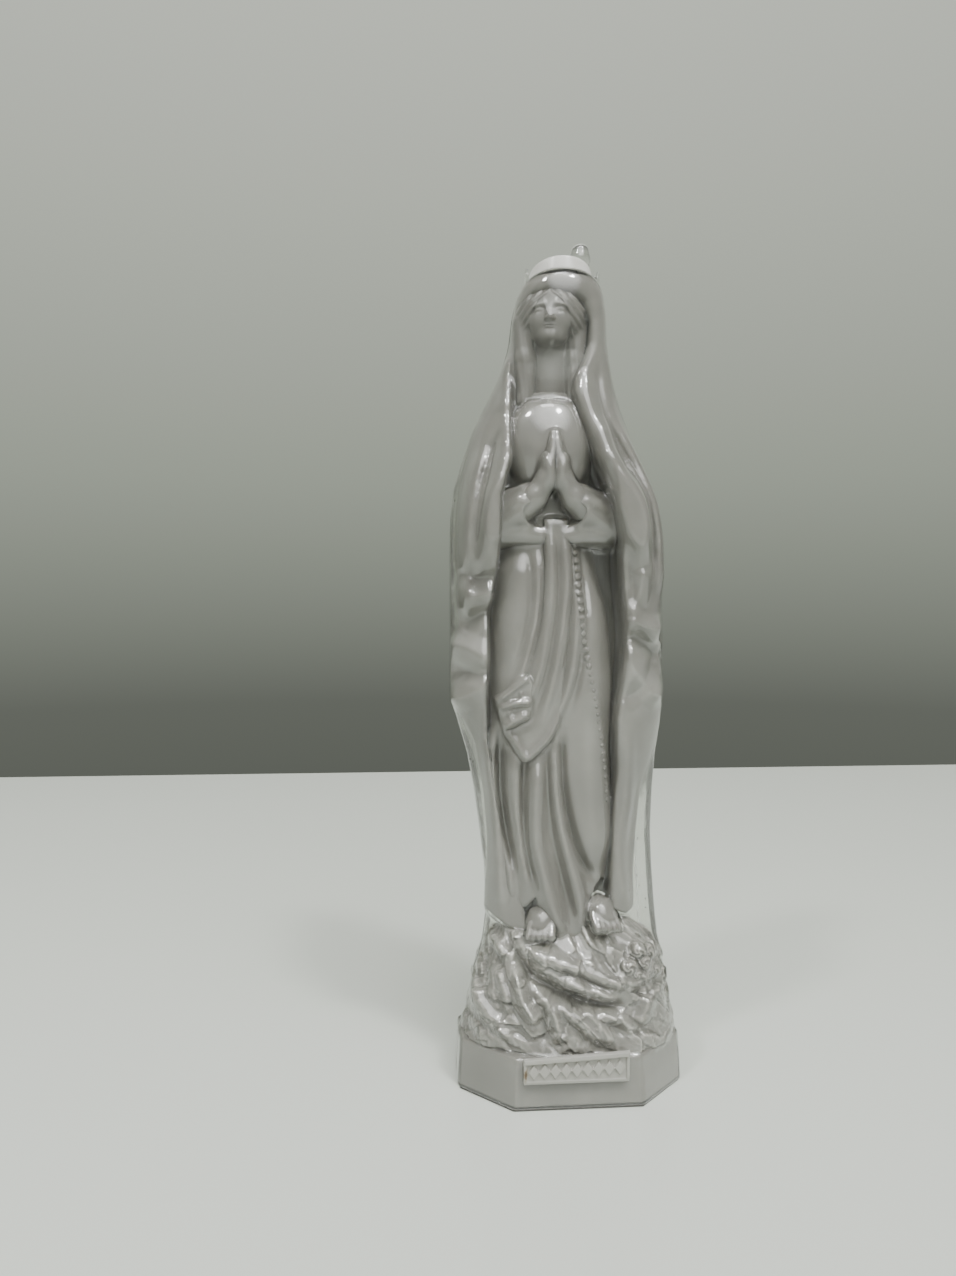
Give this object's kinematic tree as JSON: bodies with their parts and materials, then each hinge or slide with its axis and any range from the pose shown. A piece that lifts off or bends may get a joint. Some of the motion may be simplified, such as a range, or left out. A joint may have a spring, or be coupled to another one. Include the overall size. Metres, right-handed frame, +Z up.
{
  "type": "madonna statue",
  "caption": "Small praying Madonna on rocks and an octagonal plinth, pearl-white inside a clear two-half shell, with a lift-off crown.",
  "frame": {"origin": "on the table, under the middle of the whole box", "axes": "+Z up; the figure faces -Y; +X is the viewer's right, the figure's own left"},
  "size_m": [0.0363, 0.025, 0.1314],
  "materials": {
    "pearl_plastic": "pearl gloss",
    "white_plastic": "gloss",
    "clear_plastic": "clear gloss",
    "clear_crown": "clear gloss"
  },
  "bodies": {
    "statue": {"base_plate": "pearl_plastic", "plinth": "pearl_plastic", "plaque": "white_plastic", "front_shell": "clear_plastic", "back_shell": "clear_plastic", "rock_mound": "pearl_plastic", "rose_cluster": "pearl_plastic", "right_foot": "pearl_plastic", "left_foot": "pearl_plastic", "gown": "pearl_plastic", "mantle": "pearl_plastic", "collar": "pearl_plastic", "head": "pearl_plastic", "right_sleeve": "pearl_plastic", "left_sleeve": "pearl_plastic", "right_hand": "pearl_plastic", "left_hand": "pearl_plastic", "sash": "pearl_plastic", "sash_tail": "pearl_plastic", "sash_fringe": "pearl_plastic", "rosary": "pearl_plastic"},
    "crown": {"crown_cap": "white_plastic", "crown_points": "clear_crown"}
  },
  "joints": [
    {"name": "crown_lift", "type": "slide", "parent": "statue", "child": "crown", "axis": [0, 0, 1], "range_m": [0, 0.012]}
  ]
}
